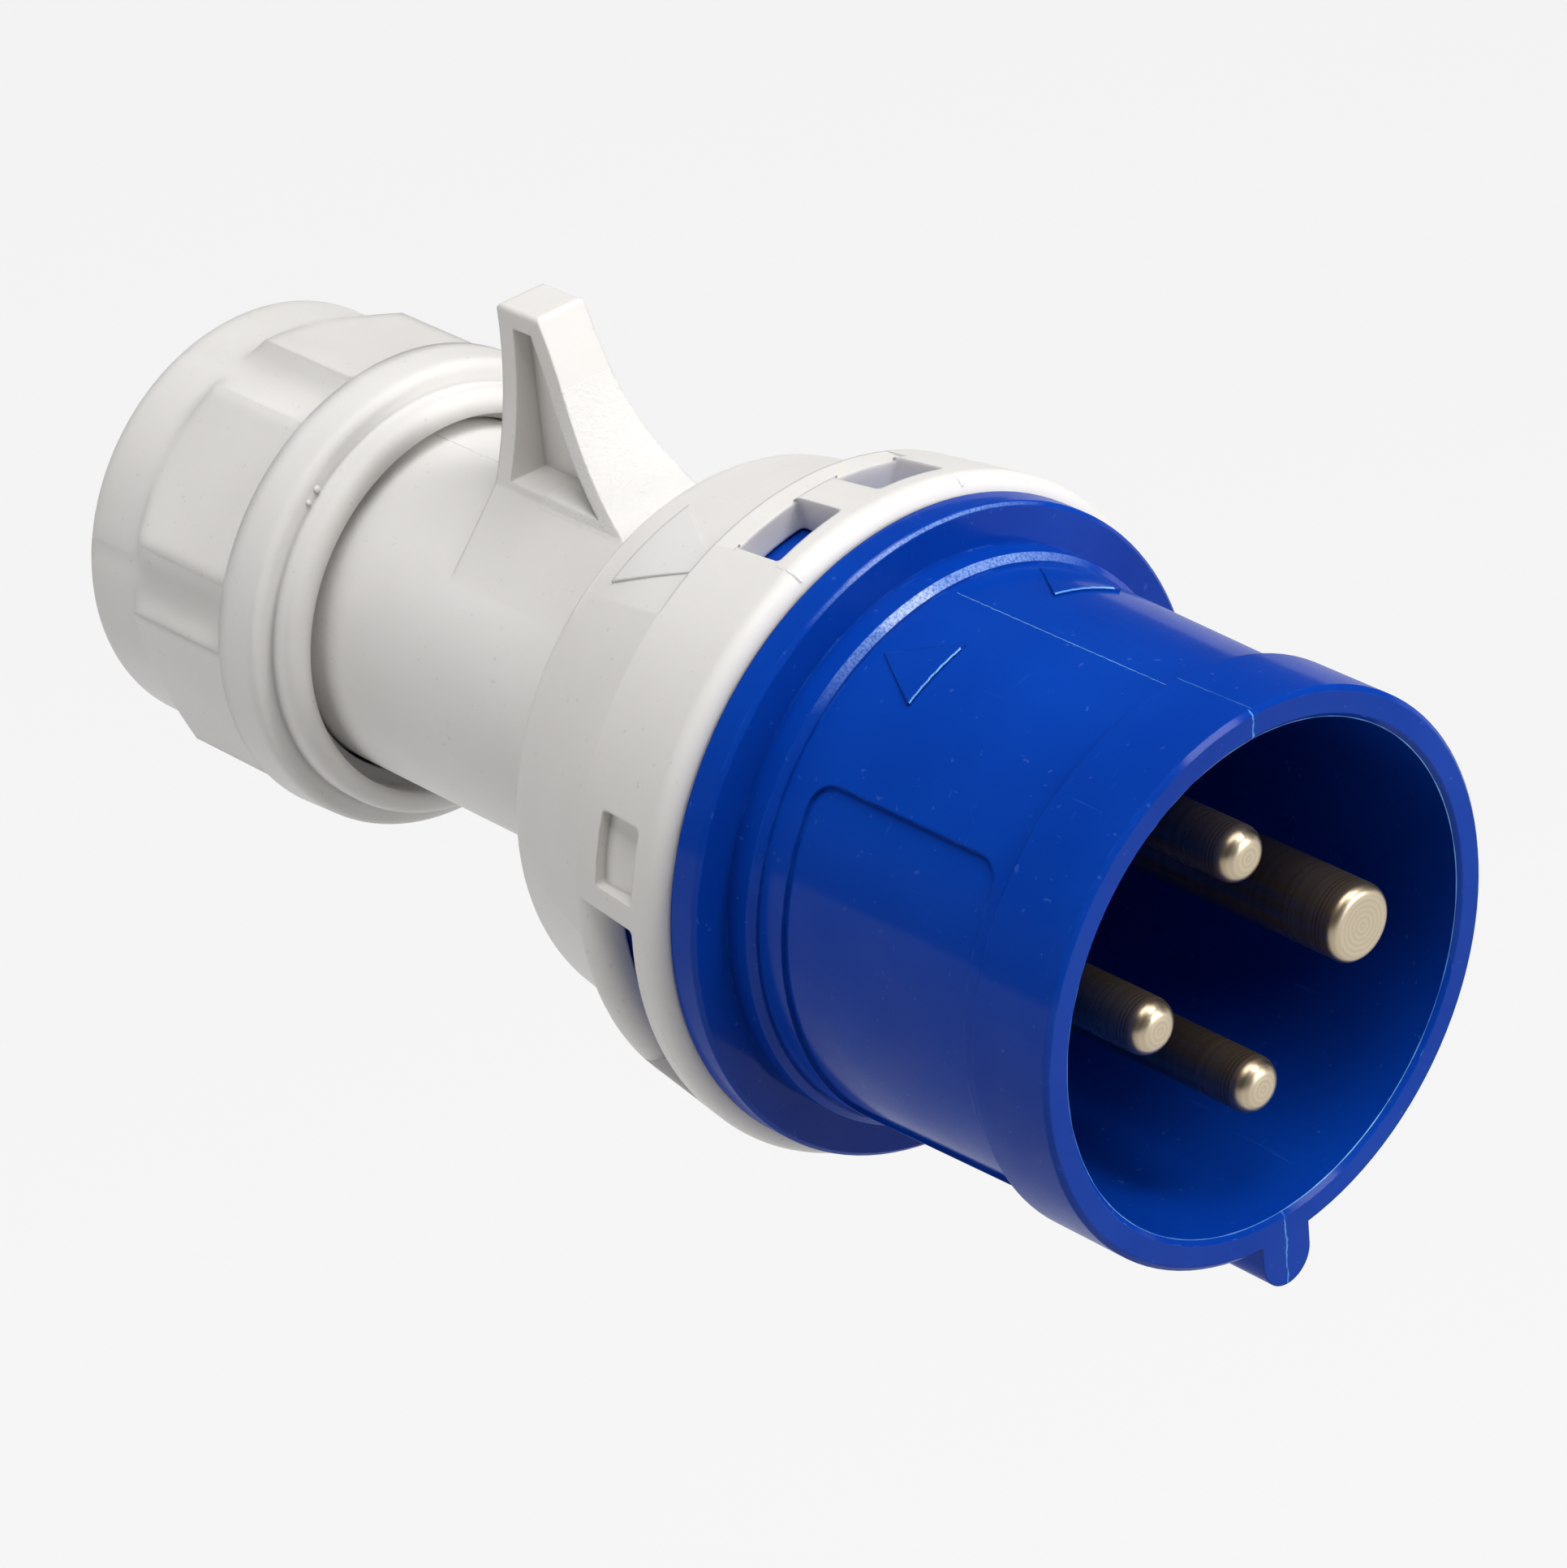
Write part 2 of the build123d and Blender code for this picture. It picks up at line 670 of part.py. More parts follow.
# Long slots of the collar, with a well rounded rear edge
with BuildPart() as collar_slots:
    slot_turns_deg = [slot_start_deg + 360.0 * index / opening_count for index in range(opening_count)]
    for start in slot_turns_deg:
        sector(opening_front, slot_rear, cavity_r, beyond_collar_r, start, slot_sweep_deg, Mode.ADD)
    corner_edges = collar_slots.edges().filter_by(GeomType.LINE).filter_by(Axis.X, reverse=True)
    corner_edges = corner_edges.filter_by(lambda edge: -edge.center().X < (opening_front + slot_rear) / 2)
    fillet(corner_edges, opening_corner_r)
    slot_edge_r = collar_ring_r_at(slot_rear + slot_round)
    for start in slot_turns_deg:
        with BuildSketch(clock_plane(start)) as rounding:
            with BuildLine():
                TangentArc(
                    (-slot_rear, slot_edge_r - slot_round),
                    (-slot_rear - slot_round, slot_edge_r),
                    tangent=(0, 1),
                )
                Polyline(
                    (-slot_rear - slot_round, slot_edge_r),
                    (-slot_rear - slot_round, beyond_collar_r),
                    (-slot_rear, beyond_collar_r),
                    (-slot_rear, slot_edge_r - slot_round),
                )
            make_face()
        revolve(rounding.sketch, axis=Axis.X, revolution_arc=slot_sweep_deg)


# Rear of the collar: from the oval with its two finger pads to a circle around the neck
with BuildPart() as collar_tail:
    oval = four_arcs(collar_step, collar_step_r, oval_waist_r)
    shoulder = four_arcs(collar_shoulder, collar_rear_r, collar_rear_r)
    loft([oval, shoulder], ruled=True)
    with BuildSketch(clock_plane(90.0)) as rounding:
        with BuildLine():
            TangentArc(
                (-collar_shoulder, collar_rear_r),
                (-collar_rear, collar_rear_r - collar_rear_round),
                tangent=(-1, -collar_rear_slope),
            )
            Polyline(
                (-collar_rear, collar_rear_r - collar_rear_round),
                (-collar_rear, 0),
                (-collar_shoulder, 0),
                (-collar_shoulder, collar_rear_r),
            )
        make_face()
    revolve(rounding.sketch, axis=Axis.X)


# Housing: twist-lock collar with oval rear, neck with gland seat, fin
with BuildPart() as housing:
    # front ring of the collar with its rolled lip
    revolved([
        (collar_front, 0),
        (collar_front, collar_front_r),
        (collar_step, collar_step_r),
        (collar_step, 0),
    ])
    fillet(circles_at(housing, collar_front, collar_front_r), collar_lip_round)
    # rear of the collar, neck and fin
    add(collar_tail.part)
    revolved([
        (cavity_rear, 0),
        (cavity_rear, neck_r),
        (neck_rear, neck_r),
        (neck_rear, 0),
    ])
    add(fin_block.part)
    # inside: seal room, skirt bore, terminal room, neck bore, grommet ledge and seat
    revolved([
        (collar_front, 0),
        (collar_front, seal_room_r),
        (seal_rear + seal_room, seal_room_r),
        (seal_rear + seal_room, collar_bore_r),
        (collar_bore_rear, collar_bore_r),
        (collar_bore_rear, cavity_r),
        (cavity_rear, cavity_r),
        (cavity_rear, neck_bore_r),
        (ledge_front, neck_bore_r),
        (ledge_front, ledge_r),
        (ledge_rear, ledge_r),
        (ledge_rear, grommet_seat_r),
        (neck_rear, grommet_seat_r),
        (neck_rear, 0),
    ], Mode.SUBTRACT)
    # openings, and the strip behind each pair of windows taken down to the collar's rear
    add(collar_openings.part, mode=Mode.SUBTRACT)
    add(collar_slots.part, mode=Mode.SUBTRACT)
    for index in range(opening_count):
        strip_start_deg = window_strip_start_deg + 360.0 * index / opening_count
        sector(
            window_rear, collar_step, collar_step_r, beyond_collar_r,
            strip_start_deg, window_strip_sweep_deg, Mode.SUBTRACT,
        )
    # track that the lugs turn in, and the way in from the front at its open end
    way_sweep_deg = lug_sweep_deg + 2 * track_end_deg
    for angle in lug_angles_deg:
        track_start_deg = angle - lug_sweep_deg / 2 - track_end_deg
        sector(
            lug_front - track_gap, lug_rear + track_gap, cavity_r, track_r,
            track_start_deg, way_sweep_deg + twist_open_deg, Mode.SUBTRACT,
        )
        sector(
            collar_front, lug_rear + track_gap, cavity_r, track_r,
            track_start_deg + twist_open_deg, way_sweep_deg, Mode.SUBTRACT,
        )
finish(housing.part, "housing")


# Cord grommet: soft sleeve seated in the end of the neck, tapering into the clamp
with BuildPart() as cable_grommet:
    ring_outer_r = grommet_tail_r - grommet_ring_inset
    ring_inner_r = ring_outer_r - grommet_ring_width
    revolved([
        (grommet_front, grommet_bore_r),
        (grommet_front, grommet_r),
        (grommet_taper_front, grommet_r),
        (grommet_rear, grommet_tail_r),
        (grommet_rear, ring_outer_r),
        (grommet_rear - grommet_ring_depth, ring_outer_r),
        (grommet_rear - grommet_ring_depth, ring_inner_r),
        (grommet_rear, ring_inner_r),
        (grommet_rear, grommet_bore_r),
    ])
finish(cable_grommet.part, "cable_grommet")


# Clamp cage: ring on the end of the neck with fingers that close on the grommet
with BuildPart() as clamp_cage:
    revolved([
        (neck_rear, cage_bore_r),
        (neck_rear, cage_ring_r),
        (cage_ring_rear, cage_ring_r),
        (cage_ring_rear, cage_root_r),
        (cage_rear, cage_tip_r),
        (cage_rear, cage_bore_rear_r),
        (grommet_taper_front, cage_bore_r),
    ])
    with BuildSketch(station(cage_ring_rear)):
        with PolarLocations(cage_root_r, cage_finger_count):
            Rectangle(cage_ring_r, cage_slit_width)
    extrude(amount=cage_ring_rear - cage_rear, mode=Mode.SUBTRACT)
finish(clamp_cage.part, "clamp_cage")


# Grip of the nut: six flats with round corners, sloped off at the rear
with BuildPart() as nut_grip:
    with BuildSketch(station(grip_slope_rear)):
        flat_r = nut_barrel_r + grip_flat_height
        RegularPolygon(flat_r, groove_count, major_radius=False, rotation=groove_first_deg)
    extrude(amount=grip_slope_rear - nut_ring_rear)
    grip_corner_r = nut_barrel_r + grip_corner_height
    revolved([
        (nut_ring_rear, grip_root_r),
        (nut_ring_rear, grip_corner_r),
        (grip_rear, grip_corner_r),
        (grip_slope_rear, nut_barrel_r),
        (grip_slope_rear, grip_root_r),
    ], Mode.INTERSECT)


# Gland nut: grip between grooves, plain ring and lip in front, closed-in rear with the cord entry
with BuildPart() as gland_nut:
    revolved([
        (nut_front, nut_mouth_r),
        (nut_front, nut_lip_r),
        (nut_ring_front, nut_lip_r),
        (nut_ring_front, nut_ring_front_r),
        (nut_ring_rear, nut_ring_rear_r),
        (nut_ring_rear, nut_barrel_r),
        (nut_rear, nut_barrel_r),
        (nut_rear, nut_entry_r),
        (nut_cone_rear, nut_entry_r),
        (nut_cone_rear, nut_cone_rear_r),
        (nut_thread_rear, nut_cone_front_r),
        (nut_thread_rear, nut_thread_r),
        (nut_ring_front, nut_thread_r),
        (nut_ring_front, nut_mouth_r),
    ])
    fillet(circles_at(gland_nut, nut_front, nut_lip_r), nut_lip_round)
    fillet(circles_at(gland_nut, nut_ring_front, nut_ring_front_r), nut_ring_round)
    fillet(circles_at(gland_nut, nut_rear, nut_barrel_r), nut_rear_round)
    chamfer(circles_at(gland_nut, nut_rear, nut_entry_r), nut_entry_edge)
    add(nut_grip.part)
    # grooves at the corners of the grip, running on to the rear end as soft valleys
    with BuildSketch(station(nut_ring_rear)):
        with PolarLocations(nut_barrel_r, groove_count, start_angle=groove_first_deg):
            Polygon(
                (0, -groove_floor_width / 2),
                (grip_corner_height, -groove_top_width / 2),
                (2 * grip_corner_height, -groove_top_width / 2),
                (2 * grip_corner_height, groove_top_width / 2),
                (grip_corner_height, groove_top_width / 2),
                (0, groove_floor_width / 2),
                align=None,
            )
    extrude(amount=nut_ring_rear - grip_slope_rear, mode=Mode.SUBTRACT)
    with BuildSketch(station(nut_ring_rear)):
        valley_centre_r = nut_barrel_r + valley_r - valley_depth
        with PolarLocations(valley_centre_r, groove_count, start_angle=groove_first_deg):
            Circle(valley_r)
    extrude(amount=nut_ring_rear - nut_rear, mode=Mode.SUBTRACT)
finish(gland_nut.part, "gland_nut")
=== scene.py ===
"""Blue and grey three-phase plug: moulded plastics, plated pins, the small moulding marks, and painted
highlights on some edges and ridges.
"""

import math

import bmesh
import bpy
from mathutils import Matrix, Vector


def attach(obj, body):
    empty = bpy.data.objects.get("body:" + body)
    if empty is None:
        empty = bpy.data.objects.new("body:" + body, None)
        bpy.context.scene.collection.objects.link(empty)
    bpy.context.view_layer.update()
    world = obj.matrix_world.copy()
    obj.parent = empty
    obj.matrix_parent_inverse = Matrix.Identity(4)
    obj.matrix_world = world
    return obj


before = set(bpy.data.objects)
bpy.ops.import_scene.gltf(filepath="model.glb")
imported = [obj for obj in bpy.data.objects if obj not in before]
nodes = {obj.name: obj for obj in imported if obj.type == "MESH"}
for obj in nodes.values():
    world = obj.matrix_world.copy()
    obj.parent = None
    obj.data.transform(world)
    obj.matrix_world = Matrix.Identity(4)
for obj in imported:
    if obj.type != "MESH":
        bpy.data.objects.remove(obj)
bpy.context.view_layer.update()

MM = 0.001

# Places on the plug, in mm and clock degrees about +X from +Y
RIM_R = 25.15
RIM_EDGE = 0.4
RIM_BORE_R = 22.45
RIM_BAND_REAR = -8.8
SHROUD_FRONT_R = 24.0
SHROUD_REAR_R = 24.6
STEP_RING_FRONT = -34.3
FLANGE_FRONT = -37.2
PIN_CIRCLE_R = 11.0
PHASE_TIP = -1.5
EARTH_TIP = -0.1
COLLAR_FRONT = -40.25
COLLAR_FRONT_R = 30.72
COLLAR_LIP_ROUND = 1.75
COLLAR_STEP = -51.7
COLLAR_STEP_R = 29.25
COLLAR_SHOULDER = -63.5
COLLAR_SHOULDER_R = 25.3
OVAL_R = 33.0
OVAL_OFFSET = 6.7
OVAL_AXIS_DEG = 65.0
NECK_R = 16.5
NUT_RING_FRONT = -103.5
NUT_NIB_R = 20.6
FIN_BROW = 29.4
FIN_PATCH_LOW = 18.5
FIN_PATCH_REAR = -81.5
ARROW_HEIGHT = 0.28

# Satin edges on the shroud: front, length, coat, and the heights between which the painted highlight on each
# rises towards its top
SATIN_HIGHLIGHT_EDGES = (
    (STEP_RING_FRONT, 0.6, 0.9, 19.5, 24.6),
    (FLANGE_FRONT, 0.2, 0.15, 25.5, 29.2),
)


def between(x, first, second):
    """The value at x on the line through two (x, value) points."""
    share = (x - first[0]) / (second[0] - first[0])
    return first[1] + share * (second[1] - first[1])


def shroud_r(x, angle):
    """Outer radius of the tapered shroud wall, in mm."""
    return between(x, (RIM_BAND_REAR, SHROUD_FRONT_R), (STEP_RING_FRONT, SHROUD_REAR_R))


def rim_r(x, angle):
    """Outer radius of the rim band."""
    return RIM_R


def lip_r(x, angle):
    """Outer radius of the collar's front ring with its rolled lip."""
    ring = between(x, (COLLAR_FRONT, COLLAR_FRONT_R), (COLLAR_STEP, COLLAR_STEP_R))
    past = x - (COLLAR_FRONT - COLLAR_LIP_ROUND)
    if past <= 0:
        return ring
    return ring - COLLAR_LIP_ROUND + math.sqrt(max(COLLAR_LIP_ROUND ** 2 - past ** 2, 0.0))


def collar_rear_r(x, angle):
    """Outer radius of the collar's rear, which runs from an oval to a round shoulder."""
    off = angle - math.radians(OVAL_AXIS_DEG)
    reach = math.sqrt(OVAL_R ** 2 - (OVAL_OFFSET * math.sin(off)) ** 2)
    oval = min(COLLAR_STEP_R, reach - OVAL_OFFSET * abs(math.cos(off)))
    return between(x, (COLLAR_STEP, oval), (COLLAR_SHOULDER, COLLAR_SHOULDER_R))


def neck_r(x, angle):
    """Outer radius of the neck."""
    return NECK_R


def nut_nib_r(x, angle):
    """Radius at which the nibs stand on the front face of the nut's ring."""
    return NUT_NIB_R


def arrow_edge_r(x, angle):
    """Radius along the raised base edge of the shroud's arrows."""
    return shroud_r(x, angle) + ARROW_HEIGHT


# Shader groups and materials


def new_group(name, inputs, outputs):
    """An empty shader group with its sockets; returns the tree, its input node and its output node."""
    tree = bpy.data.node_groups.new(name, "ShaderNodeTree")
    for label, kind, value in inputs:
        socket = tree.interface.new_socket(label, in_out="INPUT", socket_type=kind)
        socket.default_value = value
    for label, kind in outputs:
        tree.interface.new_socket(label, in_out="OUTPUT", socket_type=kind)
    return tree, tree.nodes.new("NodeGroupInput"), tree.nodes.new("NodeGroupOutput")


def place(tree, kind, **settings):
    """Adds a node and sets its properties."""
    node = tree.nodes.new(kind)
    for key, value in settings.items():
        setattr(node, key, value)
    return node


def noise(tree, coords, scale, detail=2.0, rough=0.5):
    """A noise texture on object coordinates, in features per metre."""
    node = place(tree, "ShaderNodeTexNoise")
    node.inputs["Scale"].default_value = scale
    node.inputs["Detail"].default_value = detail
    node.inputs["Roughness"].default_value = rough
    tree.links.new(coords, node.inputs["Vector"])
    return node.outputs["Fac"]


def math_node(tree, operation, first, second, clamp=False):
    """A math node; each operand is a socket or a number."""
    node = place(tree, "ShaderNodeMath", operation=operation, use_clamp=clamp)
    for slot, operand in zip(node.inputs, (first, second)):
        if isinstance(operand, (int, float)):
            slot.default_value = operand
        else:
            tree.links.new(operand, slot)
    return node.outputs[0]


def spread(tree, value, low, high, to_low=0.0, to_high=1.0):
    """Maps a value from one range to another, clamped."""
    node = place(tree, "ShaderNodeMapRange")
    node.inputs["From Min"].default_value = low
    node.inputs["From Max"].default_value = high
    node.inputs["To Min"].default_value = to_low
    node.inputs["To Max"].default_value = to_high
    tree.links.new(value, node.inputs["Value"])
    return node.outputs["Result"]


def mix_colour(tree, factor, first, second):
    """Mixes two colours, each a socket or an RGBA value."""
    node = place(tree, "ShaderNodeMix", data_type="RGBA")
    if isinstance(factor, (int, float)):
        node.inputs["Factor"].default_value = factor
    else:
        tree.links.new(factor, node.inputs["Factor"])
    for slot, operand in zip((node.inputs[6], node.inputs[7]), (first, second)):
        if isinstance(operand, tuple):
            slot.default_value = operand
        else:
            tree.links.new(operand, slot)
    return node.outputs[2]


def stretched(tree, coords, scale, turn=(0.0, 0.0, 0.0)):
    """Object coordinates turned and scaled apart on each axis, for marks that run one way."""
    node = place(tree, "ShaderNodeMapping")
    node.inputs["Rotation"].default_value = turn
    node.inputs["Scale"].default_value = scale
    tree.links.new(coords, node.inputs["Vector"])
    return node.outputs["Vector"]


def build_moulded_skin():
    """Flow shading, satin grain, dust and scuffs that both plastics share."""
    tree, _, out = new_group(
        "moulded_skin",
        [],
        [
            ("Flow", "NodeSocketFloat"),
            ("Grain", "NodeSocketFloat"),
            ("Dust", "NodeSocketFloat"),
            ("Scuffs", "NodeSocketFloat"),
        ],
    )
    coords = place(tree, "ShaderNodeTexCoord").outputs["Object"]
    flow = noise(tree, coords, 55.0, 3.0)
    grain = noise(tree, coords, 5200.0, 2.0, 0.6)
    dust = spread(tree, noise(tree, coords, 1300.0, 1.0), 0.73, 0.78)
    along = noise(tree, stretched(tree, coords, (110.0, 2600.0, 2600.0)), 1.0, 1.0)
    across = noise(tree, stretched(tree, coords, (2600.0, 170.0, 900.0), (0.5, 0.3, 0.8)), 1.0, 1.0)
    lines = math_node(tree, "MAXIMUM", spread(tree, along, 0.70, 0.76), spread(tree, across, 0.71, 0.77))
    patches = spread(tree, noise(tree, coords, 95.0, 2.0), 0.52, 0.66)
    tree.links.new(spread(tree, flow, 0.3, 0.7), out.inputs["Flow"])
    tree.links.new(grain, out.inputs["Grain"])
    tree.links.new(dust, out.inputs["Dust"])
    tree.links.new(math_node(tree, "MULTIPLY", lines, patches), out.inputs["Scuffs"])
    return tree


def build_edge_wear():
    """Softened edges: a rounded normal, and a broken mask along the edges."""
    tree, given, out = new_group(
        "edge_wear",
        [("Radius", "NodeSocketFloat", 0.0003)],
        [("Normal", "NodeSocketVector"), ("Edge", "NodeSocketFloat")],
    )
    bevel = place(tree, "ShaderNodeBevel", samples=6)
    tree.links.new(given.outputs["Radius"], bevel.inputs["Radius"])
    flat = place(tree, "ShaderNodeNewGeometry").outputs["Normal"]
    dot = place(tree, "ShaderNodeVectorMath", operation="DOT_PRODUCT")
    tree.links.new(bevel.outputs["Normal"], dot.inputs[0])
    tree.links.new(flat, dot.inputs[1])
    turned = spread(tree, dot.outputs["Value"], 0.985, 0.86)
    coords = place(tree, "ShaderNodeTexCoord").outputs["Object"]
    patches = spread(tree, noise(tree, coords, 420.0, 4.0), 0.48, 0.62)
    tree.links.new(bevel.outputs["Normal"], out.inputs["Normal"])
    tree.links.new(math_node(tree, "MULTIPLY", turned, patches), out.inputs["Edge"])
    return tree


def build_turned_marks():
    """Lathe marks on a pin: rings on its end face, marks round its shank, a band of groove rings, a mask
    near the tip for roughness and a painted sheen, and the face's mask.
    """
    tree, given, out = new_group(
        "turned_marks",
        [("Tip", "NodeSocketVector", (0.0, 0.0, 0.0))],
        [
            ("Rings", "NodeSocketFloat"),
            ("Lines", "NodeSocketFloat"),
            ("Grooves", "NodeSocketFloat"),
            ("Brushed_sheen", "NodeSocketFloat"),
            ("Face", "NodeSocketFloat"),
        ],
    )
    texture = place(tree, "ShaderNodeTexCoord")
    coords = texture.outputs["Object"]
    shift = place(tree, "ShaderNodeVectorMath", operation="SUBTRACT")
    tree.links.new(coords, shift.inputs[0])
    tree.links.new(given.outputs["Tip"], shift.inputs[1])
    flat = place(tree, "ShaderNodeVectorMath", operation="MULTIPLY")
    flat.inputs[1].default_value = (0.0, 1.0, 1.0)
    tree.links.new(shift.outputs["Vector"], flat.inputs[0])
    reach = place(tree, "ShaderNodeVectorMath", operation="LENGTH")
    tree.links.new(flat.outputs["Vector"], reach.inputs[0])
    wobble = noise(tree, coords, 700.0, 2.0)
    turns = math_node(tree, "MULTIPLY", reach.outputs["Value"], 13000.0)
    turns = math_node(tree, "ADD", turns, math_node(tree, "MULTIPLY", wobble, 2.5))
    tree.links.new(spread(tree, math_node(tree, "SINE", turns, 0.0), -1.0, 1.0), out.inputs["Rings"])
    lines = noise(tree, stretched(tree, coords, (3200.0, 60.0, 60.0)), 1.0, 1.0)
    tree.links.new(lines, out.inputs["Lines"])
    behind = place(tree, "ShaderNodeSeparateXYZ")
    tree.links.new(shift.outputs["Vector"], behind.inputs["Vector"])
    from_tip = math_node(tree, "MULTIPLY", behind.outputs["X"], -1.0)
    waves = math_node(tree, "SINE", math_node(tree, "MULTIPLY", from_tip, 16000.0), 0.0)
    past = spread(tree, from_tip, 0.0015, 0.0017)
    before = spread(tree, from_tip, 0.0029, 0.0023)
    zone = math_node(tree, "MULTIPLY", past, before)
    tree.links.new(math_node(tree, "MULTIPLY", spread(tree, waves, 0.2, 0.9), zone), out.inputs["Grooves"])
    near = spread(tree, from_tip, 0.008, 0.001)
    streaks = spread(tree, lines, 0.38, 0.62, 0.75, 1.0)
    tree.links.new(math_node(tree, "MULTIPLY", near, streaks), out.inputs["Brushed_sheen"])
    axes = place(tree, "ShaderNodeSeparateXYZ")
    tree.links.new(texture.outputs["Normal"], axes.inputs["Vector"])
    tree.links.new(spread(tree, axes.outputs["X"], 0.3, 0.97), out.inputs["Face"])
    return tree


def build_parting_line_and_highlight():
    """Masks on the shroud: a broken line where the mould's halves met, its polish, and a painted highlight
    along the tops of two edges.
    """
    tree, _, out = new_group(
        "parting_line_and_highlight",
        [],
        [("Line", "NodeSocketFloat"), ("Polish", "NodeSocketFloat"), ("Painted_highlight", "NodeSocketFloat")],
    )
    coords = place(tree, "ShaderNodeTexCoord").outputs["Object"]
    axes = place(tree, "ShaderNodeSeparateXYZ")
    tree.links.new(coords, axes.inputs["Vector"])
    sway = spread(tree, noise(tree, coords, 420.0, 3.0), 0.2, 0.8, -0.0004, 0.0004)
    off = math_node(tree, "ABSOLUTE", math_node(tree, "ADD", axes.outputs["Y"], sway), 0.0)
    line = spread(tree, off, 0.00012, 0.00005)
    front = spread(tree, axes.outputs["X"], -0.0006, -0.0003)
    broken = spread(tree, noise(tree, coords, 800.0, 2.0), 0.40, 0.55, 0.25, 1.0)
    line = math_node(tree, "MULTIPLY", line, front)
    tree.links.new(math_node(tree, "MULTIPLY", line, broken), out.inputs["Line"])
    sparkle = spread(tree, noise(tree, coords, 4200.0, 2.0, 0.7), 0.35, 0.6, 0.3, 1.0)
    top = math_node(tree, "MULTIPLY", spread(tree, axes.outputs["Z"], 0.004, 0.022), sparkle)
    polish = spread(tree, noise(tree, coords, 160.0, 2.0), 0.3, 0.7, 0.2, 0.28)
    painted_highlight_tops = []
    for station, length, weight, low, high in SATIN_HIGHLIGHT_EDGES:
        before = spread(tree, axes.outputs["X"], station * MM, (station - 0.04) * MM)
        behind = spread(tree, axes.outputs["X"], (station - length - 0.1) * MM, (station - length) * MM)
        edge = math_node(tree, "MULTIPLY", before, behind)
        coat = math_node(tree, "MULTIPLY", math_node(tree, "MULTIPLY", edge, top), weight)
        polish = math_node(tree, "MAXIMUM", polish, coat)
        # Painted highlight: each edge turns paler towards its top.
        highlight_band = math_node(tree, "MULTIPLY", spread(tree, axes.outputs["Z"], low * MM, high * MM), sparkle)
        painted_highlight_tops.append(math_node(tree, "MULTIPLY", edge, highlight_band))
    tree.links.new(polish, out.inputs["Polish"])
    tree.links.new(math_node(tree, "ADD", *painted_highlight_tops, True), out.inputs["Painted_highlight"])
    return tree


def build_sparked_face():
    """Mask of the rough patch below the brow on the front of the housing's fin."""
    tree, _, out = new_group("sparked_face", [], [("Patch", "NodeSocketFloat"), ("Pits", "NodeSocketFloat")])
    coords = place(tree, "ShaderNodeTexCoord").outputs["Object"]
    axes = place(tree, "ShaderNodeSeparateXYZ")
    tree.links.new(coords, axes.inputs["Vector"])
    low = spread(tree, axes.outputs["Z"], FIN_PATCH_LOW * MM, (FIN_PATCH_LOW + 0.5) * MM)
    high = spread(tree, axes.outputs["Z"], FIN_BROW * MM, (FIN_BROW - 0.1) * MM)
    ahead = spread(tree, axes.outputs["X"], FIN_PATCH_REAR * MM, (FIN_PATCH_REAR + 0.5) * MM)
    behind = spread(tree, axes.outputs["X"], (COLLAR_SHOULDER - 0.3) * MM, (COLLAR_SHOULDER - 0.8) * MM)
    length = math_node(tree, "MULTIPLY", ahead, behind)
    patch = math_node(tree, "MULTIPLY", math_node(tree, "MULTIPLY", low, high), length)
    tree.links.new(patch, out.inputs["Patch"])
    pits = noise(tree, coords, 2600.0, 3.0, 0.7)
    tree.links.new(math_node(tree, "MULTIPLY", pits, patch), out.inputs["Pits"])
    return tree


moulded_skin = build_moulded_skin()
parting_line_and_highlight = build_parting_line_and_highlight()
sparked_face = build_sparked_face()
edge_wear = build_edge_wear()
turned_marks = build_turned_marks()


def new_material(name):
    """A node material with an empty Principled shader."""
    material = bpy.data.materials.new(name)
    material.use_nodes = True
    tree = material.node_tree
    return material, tree, tree.nodes["Principled BSDF"]


def use_group(tree, group, **values):
    """Places a shader group in a material with its own values."""
    node = place(tree, "ShaderNodeGroup", node_tree=group)
    for label, value in values.items():
        node.inputs[label].default_value = value
    return node


def bumped(tree, height, normal, strength, distance):
    """A bump on top of a normal."""
    node = place(tree, "ShaderNodeBump")
    node.inputs["Strength"].default_value = strength
    node.inputs["Distance"].default_value = distance
    tree.links.new(height, node.inputs["Height"])
    if normal is not None:
        tree.links.new(normal, node.inputs["Normal"])
    return node.outputs["Normal"]


def moulded_plastic(
    name, deep, light, worn, speck, roughness, gloss, edge_radius, wear, scuff, dust, depth,
):
    """Satin moulded plastic between two shades, paler along worn edges and scuffs, with dust."""
    material, tree, shader = new_material(name)
    skin = use_group(tree, moulded_skin)
    edge = use_group(tree, edge_wear, Radius=edge_radius)
    colour = mix_colour(tree, skin.outputs["Flow"], deep, light)
    rubbed = math_node(
        tree, "ADD",
        math_node(tree, "MULTIPLY", edge.outputs["Edge"], wear),
        math_node(tree, "MULTIPLY", skin.outputs["Scuffs"], scuff),
        True,
    )
    colour = mix_colour(tree, rubbed, colour, worn)
    colour = mix_colour(tree, math_node(tree, "MULTIPLY", skin.outputs["Dust"], dust), colour, speck)
    tree.links.new(colour, shader.inputs["Base Color"])
    rough = spread(tree, skin.outputs["Grain"], 0.3, 0.7, roughness - 0.05, roughness + 0.07)
    tree.links.new(rough, shader.inputs["Roughness"])
    normal = bumped(tree, skin.outputs["Grain"], edge.outputs["Normal"], 0.12, 0.00004)
    tree.links.new(normal, shader.inputs["Normal"])
    shader.inputs["IOR"].default_value = 1.5
    shader.inputs["Specular IOR Level"].default_value = gloss
    shader.inputs["Subsurface Weight"].default_value = depth
    shader.inputs["Subsurface Radius"].default_value = (1.0, 0.85, 0.7)
    shader.inputs["Subsurface Scale"].default_value = 0.0012
    return material, tree, shader


